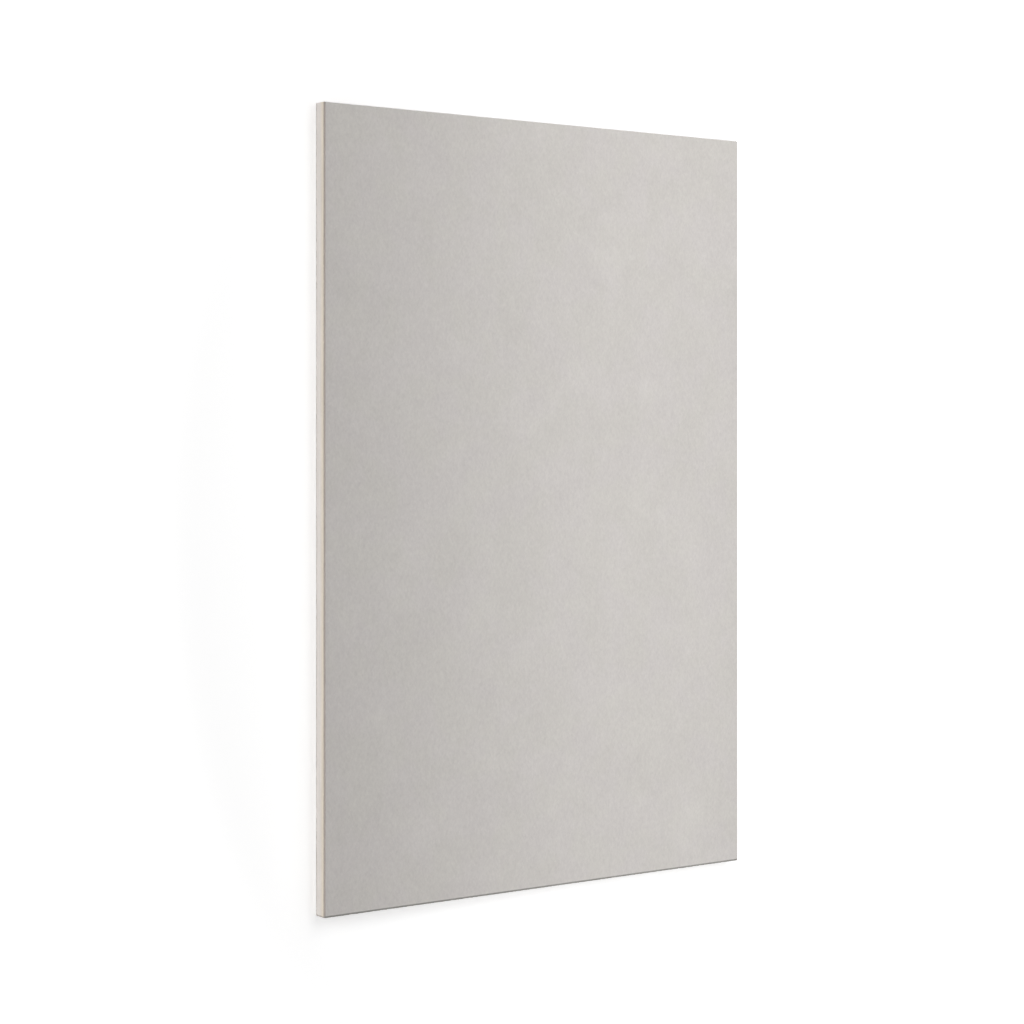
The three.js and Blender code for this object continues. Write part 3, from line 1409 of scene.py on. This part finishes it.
@dataclass
class Liner:
    """One paper liner: a thin sheet over the whole panel whose cut edge shows its plies."""

    name: str
    node: str
    slot: str
    outline: Outline
    bottom_mm: float
    top_mm: float
    faces_up: bool
    finish: LinerFinish
    cut_finish: CutPaperFinish
    wear: EdgeWear
    slant_mm: tuple[float, float] = (0.0, 0.0)
    far_mm: float = 0.0
    lip_mm: float = 0.0
    arris_mm: float = 0.06
    arris_steps: int = 2
    sheet: FlatSheet = FlatSheet(
        main_scale=0.0016,
        other_scale=0.0005,
        rim_scale=0.006,
        rim_foot=0.68,
        rim_left=0.34,
    )

    def rows(self) -> list[RimRow]:
        """Gives the level lines of the cut edge.

        The cut leans inwards towards the side that shows, where its arris is slightly rounded. The inner side
        ends in a lip, which can hang free of the gypsum.

        Returns:
            The rows, from the lowest up.
        """
        out = 1 if self.faces_up else -1
        inner = self.bottom_mm if self.faces_up else self.top_mm
        outer = self.top_mm if self.faces_up else self.bottom_mm
        rows = [RimRow(self.lip_mm, inner, far_mm=self.far_mm)] if self.lip_mm else []
        rows.append(RimRow(0.0, inner, far_mm=self.far_mm, lip=1.0 if self.lip_mm else 0.0))
        profile = [(0.0, (inner + outer) / 2)]
        for step in range(self.arris_steps + 1):
            angle = math.pi / 2 * step / self.arris_steps
            height = outer - out * self.arris_mm * (1 - math.sin(angle))
            profile.append((self.arris_mm * (1 - math.cos(angle)), height))
        for inset, height in profile:
            lean = (height - inner) / (outer - inner)
            slant = (self.slant_mm[0] * lean, self.slant_mm[1] * lean)
            rows.append(RimRow(inset, height, slant_mm=slant, far_mm=self.far_mm))
        return rows if self.faces_up else rows[::-1]

    def build(self) -> bpy.types.Object:
        """Builds and dresses the liner.

        Returns:
            The liner's object.
        """
        piece = Layer(
            self.name,
            self.outline,
            self.rows(),
            self.sheet,
            shows_top=self.faces_up,
            shows_bottom=not self.faces_up,
        ).build()
        broad = self.finish.material(self.outline.half_width_mm, self.outline.half_length_mm)
        cut = self.cut_finish.material(self.outline.half_length_mm)
        values = {
            **self.wear.inputs(),
            "Fibre Place": self.sheet.rim_spot(self.lip_mm + (self.top_mm - self.bottom_mm) / 2),
            "Broad Side": broad,
            "Cut Side": cut,
        }
        settle_tree(piece, edge_tree(), values)
        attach(piece, "root")
        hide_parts(self.node)
        return piece


@dataclass
class DrywallPanel:
    """The whole panel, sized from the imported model."""

    score_setback_mm: float = 0.5
    score_depth_mm: float = 0.9
    lip_clearance_mm: float = 0.05
    knife_slant_mm: tuple[float, float] = (0.45, 1.4)
    far_trim_mm: float = 0.8

    def build(self) -> list[bpy.types.Object]:
        """Builds the core and both liners.

        Returns:
            Their objects, from the bottom up.
        """
        core_low, core_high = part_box("gypsum_core")
        face_low, face_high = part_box("face_paper")
        back_low, back_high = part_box("back_paper")
        outline = Outline(face_high.x / MM, face_high.y / MM)
        back = Liner(
            name="back_liner_sheet",
            node="back_paper",
            slot="back_liner",
            outline=outline,
            bottom_mm=back_low.z / MM,
            top_mm=back_high.z / MM,
            faces_up=False,
            finish=BACK_LINER,
            cut_finish=BACK_LINER_CUT,
            wear=EdgeWear(wander_mm=0.08, wander_length_mm=25.0, crumble_mm=0.08, ripple_mm=0.03),
        )
        core = GypsumCore(
            outline=outline,
            bottom_mm=core_low.z / MM,
            top_mm=core_high.z / MM,
            score_setback_mm=self.score_setback_mm,
            score_depth_mm=self.score_depth_mm,
        )
        face = Liner(
            name="face_liner_sheet",
            node="face_paper",
            slot="face_liner",
            outline=outline,
            bottom_mm=face_low.z / MM,
            top_mm=face_high.z / MM,
            faces_up=True,
            finish=FACE_LINER,
            cut_finish=FACE_LINER_CUT,
            wear=EdgeWear(
                wander_mm=0.04,
                wander_length_mm=25.0,
                crumble_mm=0.06,
                crumble_size_mm=1.3,
                lip_droop_mm=0.7,
                ripple_mm=0.03,
                fibre_share=0.8,
                fibre_length_mm=1.1,
                fibre_width_mm=0.13,
            ),
            slant_mm=self.knife_slant_mm,
            far_mm=self.far_trim_mm,
            lip_mm=self.score_setback_mm - self.lip_clearance_mm,
        )
        return [back.build(), core.build(), face.build()]


# ---------------------------------------------------------------------------
# Studio
# ---------------------------------------------------------------------------


@dataclass(frozen=True)
class Lamp:
    """A soft rectangular lamp that looks at a point on the panel, with its length along it, in metres."""

    name: str
    place: tuple[float, float, float]
    target: tuple[float, float, float]
    width: float
    length: float
    watts: float

    def build(self) -> bpy.types.Object:
        """Builds the lamp.

        Returns:
            The lamp's object.
        """
        data = bpy.data.lights.new(self.name, "AREA")
        data.shape = "RECTANGLE"
        data.size = self.width
        data.size_y = self.length
        data.energy = self.watts
        lamp = bpy.data.objects.new(self.name, data)
        back = (Vector(self.place) - Vector(self.target)).normalized()
        across = Vector((0.0, 1.0, 0.0)).cross(back).normalized()
        turn = Matrix((across, back.cross(across), back)).transposed()
        lamp.matrix_world = Matrix.Translation(self.place) @ turn.to_4x4()
        lamp.visible_camera = False
        bpy.context.scene.collection.objects.link(lamp)
        return lamp


@dataclass(frozen=True)
class Studio:
    """A pale floor, soft lamps and the camera that looks down on the lying panel. Lengths are metres.

    Where the camera sees it, the floor glows a little around the panel and is fully white farther out. How
    far out a place lies is measured from the panel's middle, after a stretch that makes the panel square.
    """

    floor_half: float = 6.0
    floor_drop: float = 0.0001
    floor_tone: Colour = tone(246, 246, 246)
    glow: float = 0.37
    glow_fade: tuple[float, float] = (0.45, 0.72)
    glow_stretch: tuple[float, float, float] = (1.5, 1.0, 1.0)
    sky_strength: float = 0.085
    lamps: tuple[Lamp, ...] = (
        Lamp("strip lamp", (0.16, 0.0, 0.31), (0.12, 0.0, 0.0), 0.5, 1.65, 2.43),
        Lamp("far lamp", (0.2, 1.3, 1.9), (0.0, -0.1, 0.0), 1.5, 1.5, 13.8),
        Lamp("edge fill", (-1.48, -0.18, 0.35), (-0.2, -0.06, 0.0), 1.0, 1.8, 17.2),
    )
    camera_place: tuple[float, float, float] = (-1.10476, 0.05709, 1.5108)
    camera_lean_deg: float = 35.618
    focal_mm: float = 82.163
    sensor_mm: float = 36.0
    rise_shift: float = -0.07689

    def build(self) -> None:
        """Builds the floor, the sky, the lamps and the camera."""
        self.build_floor()
        self.build_sky()
        for lamp in self.lamps:
            lamp.build()
        self.build_camera()

    def seen_directly(self, graph: Graph) -> bpy.types.NodeSocket:
        """Tells what is seen from light that bounces.

        Args:
            graph: The material or world that asks.

        Returns:
            The socket of a value that is 1 for a ray from the camera, a reflection or glass, and 0 otherwise.
        """
        path = graph.add("ShaderNodeLightPath").outputs
        mirrored = graph.math("MAXIMUM", path["Is Glossy Ray"], path["Is Transmission Ray"])
        return graph.math("MAXIMUM", path["Is Camera Ray"], mirrored)

    def glow_level(self, graph: Graph, geometry: bpy.types.Node) -> bpy.types.NodeSocket:
        """Gives how white the floor glows: evenly near the panel, so that its shadow stays, and fully beyond.

        Args:
            graph: The floor's material.
            geometry: The node that gives the place on the floor.

        Returns:
            The socket of the glow, where 1 is white.
        """
        place = graph.vector("MULTIPLY", geometry.outputs["Position"], self.glow_stretch)
        length = graph.add("ShaderNodeVectorMath", {0: place}, operation="LENGTH")
        return graph.ramp(length.outputs["Value"], *self.glow_fade, self.glow, 1.0)

    def build_floor(self) -> None:
        """Builds the floor: matte and near white from above, and clear from below."""
        half = self.floor_half
        corners = [(-half, -half), (half, -half), (half, half), (-half, half)]
        mesh = bpy.data.meshes.new("floor")
        mesh.from_pydata([(x, y, -self.floor_drop) for x, y in corners], [], [(0, 1, 2, 3)])
        material = bpy.data.materials.new("floor")
        material.use_nodes = True
        material.node_tree.nodes.clear()
        graph = Graph(material.node_tree)
        matte = graph.add("ShaderNodeBsdfDiffuse", {"Color": self.floor_tone})
        geometry = graph.add("ShaderNodeNewGeometry")
        strength = graph.times(self.seen_directly(graph), self.glow_level(graph, geometry))
        glow = graph.add("ShaderNodeEmission", {"Strength": strength})
        top = graph.add("ShaderNodeAddShader", {0: matte.outputs[0], 1: glow.outputs[0]})
        clear = graph.add("ShaderNodeBsdfTransparent")
        sides = {0: geometry.outputs["Backfacing"], 1: top.outputs[0], 2: clear.outputs[0]}
        mixed = graph.add("ShaderNodeMixShader", sides)
        graph.add("ShaderNodeOutputMaterial", {"Surface": mixed.outputs[0]})
        mesh.materials.append(material)
        floor = bpy.data.objects.new("floor", mesh)
        bpy.context.scene.collection.objects.link(floor)

    def build_sky(self) -> None:
        """Builds an even sky that looks white and lights gently."""
        world = bpy.data.worlds.new("sky")
        world.use_nodes = True
        world.node_tree.nodes.clear()
        graph = Graph(world.node_tree)
        inputs = {"Value": self.seen_directly(graph), "To Min": self.sky_strength, "To Max": 1.0}
        strength = graph.add("ShaderNodeMapRange", inputs).outputs[0]
        background = graph.add("ShaderNodeBackground", {"Color": tone(255, 255, 255), "Strength": strength})
        graph.add("ShaderNodeOutputWorld", {"Surface": background.outputs[0]})
        bpy.context.scene.world = world

    def build_camera(self) -> None:
        """Builds the camera: it leans over the panel's left long edge, with the panel's length upright."""
        data = bpy.data.cameras.new("camera")
        data.lens = self.focal_mm
        data.sensor_width = self.sensor_mm
        data.shift_y = self.rise_shift
        lean = math.radians(self.camera_lean_deg)
        back = Vector((-math.sin(lean), 0.0, math.cos(lean)))
        up = Vector((0.0, 1.0, 0.0))
        right = up.cross(back)
        turn = Matrix((right, up, back)).transposed()
        camera = bpy.data.objects.new("camera", data)
        camera.matrix_world = Matrix.Translation(self.camera_place) @ turn.to_4x4()
        bpy.context.scene.collection.objects.link(camera)
        bpy.context.scene.camera = camera
        bpy.context.scene.view_settings.view_transform = "Standard"


def write_sizes() -> None:
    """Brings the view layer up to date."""
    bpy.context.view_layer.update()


def main() -> None:
    """Builds the studio and the panel, and reports each piece."""
    logging.basicConfig(level=logging.INFO, format="%(name)s: %(message)s")
    Studio().build()
    for piece in DrywallPanel().build():
        mesh = piece.data
        LOG.info("%s: %d faces, %d materials", piece.name, len(mesh.polygons), len(mesh.materials))
    write_sizes()


if __name__ == "__main__":
    main()
